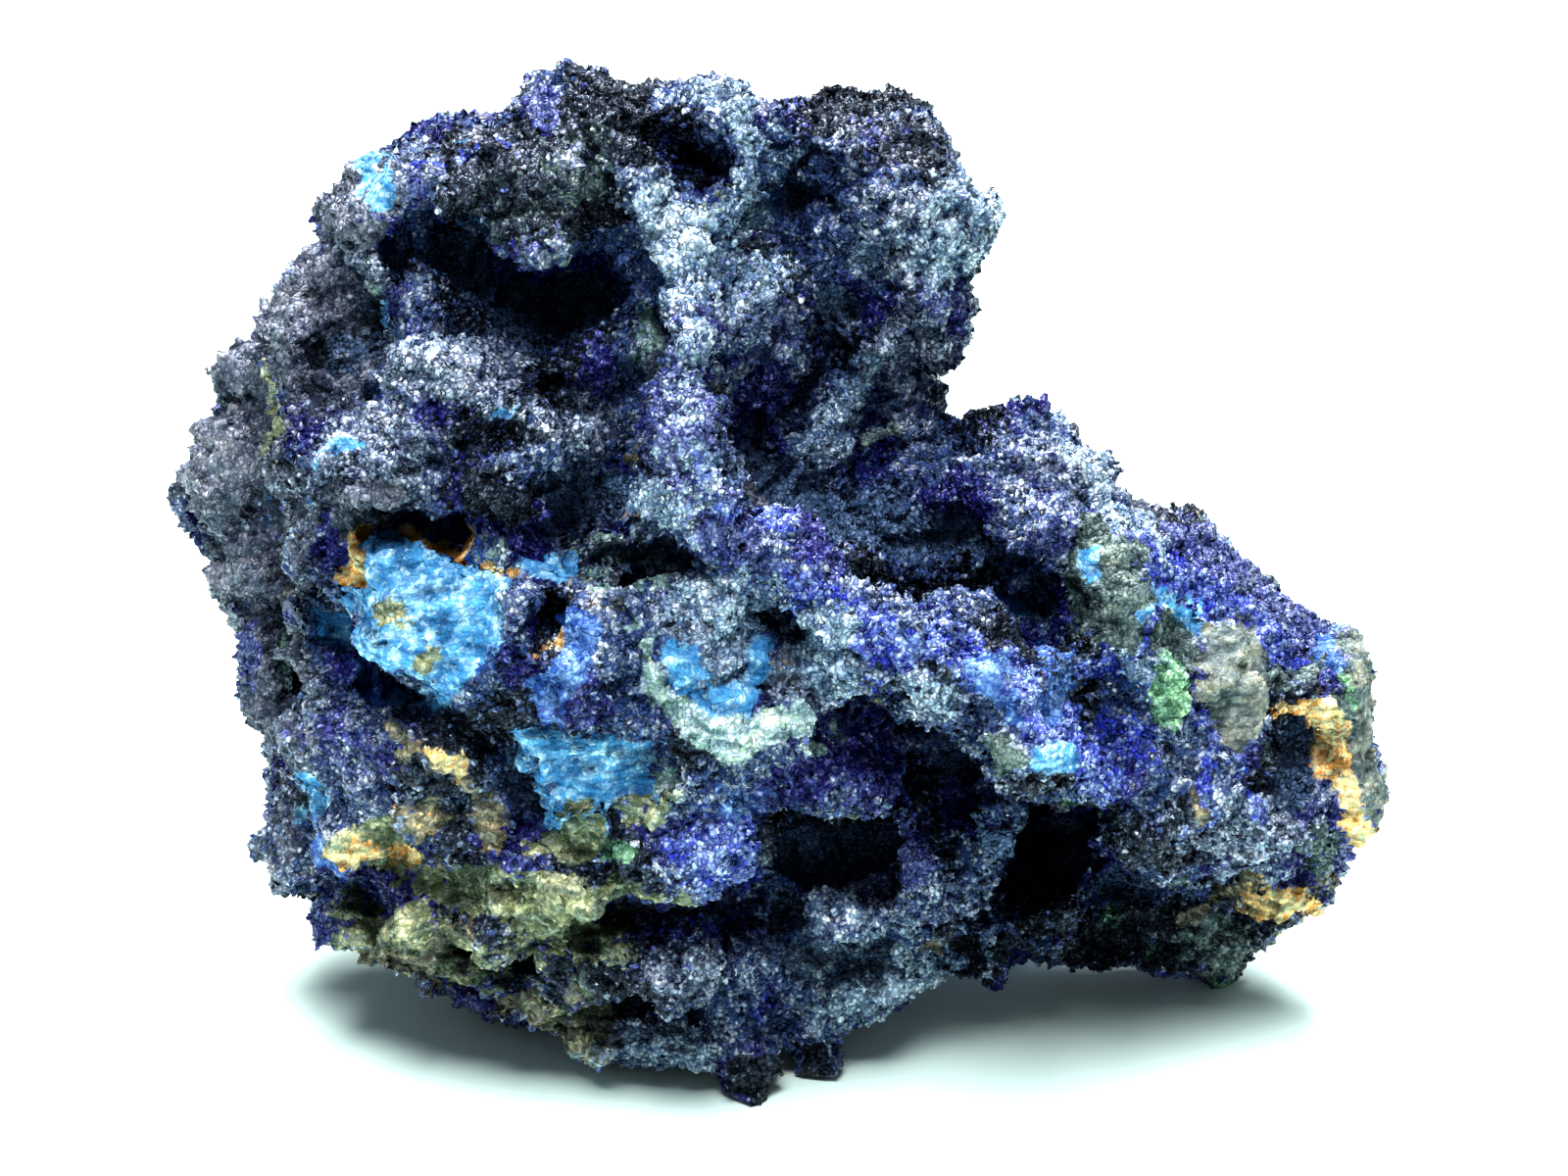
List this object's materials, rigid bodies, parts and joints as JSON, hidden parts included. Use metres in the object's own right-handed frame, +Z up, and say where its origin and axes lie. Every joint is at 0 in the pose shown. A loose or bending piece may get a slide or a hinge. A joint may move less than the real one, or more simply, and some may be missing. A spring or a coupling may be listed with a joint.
{
  "type": "azurite specimen",
  "caption": "Knobbly natural mass of dark blue azurite with deep hollows, drawn-out ridges, split blocks and a side arm, resting on low feet",
  "frame": {"origin": "middle of the box round the stone, at the surface it rests on", "axes": "+X along the stone from its main mass to its side arm, +Y through its thickness away from the broken front, +Z up"},
  "size_m": [0.0762, 0.0466, 0.0622],
  "materials": {
    "azurite": "drusy, sparkling crystal crust"
  },
  "bodies": {
    "root": {"azurite_specimen": "azurite"}
  },
  "joints": []
}
